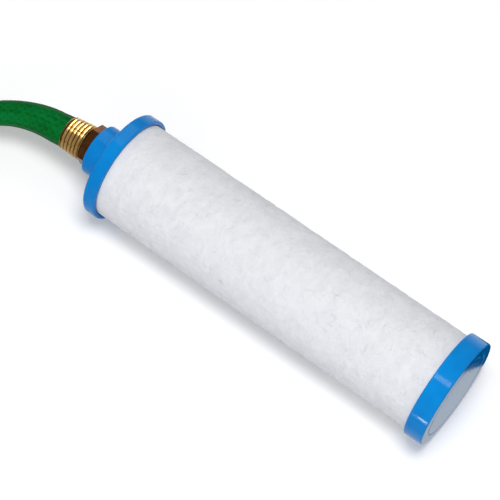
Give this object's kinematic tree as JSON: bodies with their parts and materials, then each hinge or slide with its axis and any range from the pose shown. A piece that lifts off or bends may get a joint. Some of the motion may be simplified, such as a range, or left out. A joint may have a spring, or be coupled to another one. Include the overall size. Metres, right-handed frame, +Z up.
{
  "type": "hose-end water filter",
  "caption": "Spun sediment filter cartridge with plastic end caps, screwed onto a short garden hose leader with crimped fittings and a swivel nut.",
  "frame": {"origin": "on the filter's axis, at the centre of the closed end's flat face", "axes": "+X along the filter's axis, out of its closed end, and +Z up, so the filter lies on its side and the hose runs off towards -X and then -Y"},
  "size_m": [0.3745, 0.1992, 0.0698],
  "materials": {
    "cap_plastic": "glossy moulded",
    "core_plastic": "natural moulded",
    "spun_media": "soft melt-blown fibre",
    "hot_melt": "hot-melt adhesive",
    "washer_rubber": "matt",
    "brass": "satin, crimped",
    "hose_liner": "smooth vinyl",
    "hose_yarn": "polyester yarn",
    "hose_vinyl": "soft satin vinyl"
  },
  "bodies": {
    "coupling": {"filter_coupling": "brass", "filter_ferrule": "brass", "hose_liner_filter_end": "hose_liner", "hose_braid_filter_end": "hose_yarn", "hose_cover_filter_end": "hose_vinyl"},
    "washer": {"socket_washer": "washer_rubber"},
    "filter": {"inlet_cap": "cap_plastic", "closed_end_cap": "cap_plastic", "core_tube": "core_plastic", "media_fine": "spun_media", "media_middle": "spun_media", "media_outer": "spun_media", "inlet_bond_ring": "hot_melt", "closed_bond_ring": "hot_melt"},
    "tap_hose": {"hose_liner_tap_end": "hose_liner", "hose_braid_tap_end": "hose_yarn", "hose_cover_tap_end": "hose_vinyl", "tap_ferrule": "brass", "tap_tail": "brass", "tap_washer": "washer_rubber"},
    "nut": {"swivel_nut": "brass"}
  },
  "joints": [
    {"name": "filter_travel", "type": "slide", "parent": "coupling", "child": "washer", "axis": [1, 0, 0], "range_m": [0, 0.00884]},
    {"name": "filter_screw", "type": "hinge", "parent": "washer", "child": "filter", "pos_m": [-0.2475, 0, 0], "axis": [1, 0, 0], "range_deg": [0, 1440]},
    {"name": "hose_flex", "type": "hinge", "parent": "coupling", "child": "tap_hose", "pos_m": [-0.35922, -0.07289, -0.01456], "axis": [0, 0, 1], "range_deg": [-24, 24]},
    {"name": "nut_spin", "type": "hinge", "parent": "tap_hose", "child": "nut", "pos_m": [-0.35922, -0.15699, -0.01967], "axis": [0, -1, 0], "continuous": true}
  ],
  "couplings": [
    {"joint": "filter_travel", "follows": "filter_screw", "m_per_rad": 0.00035153}
  ]
}
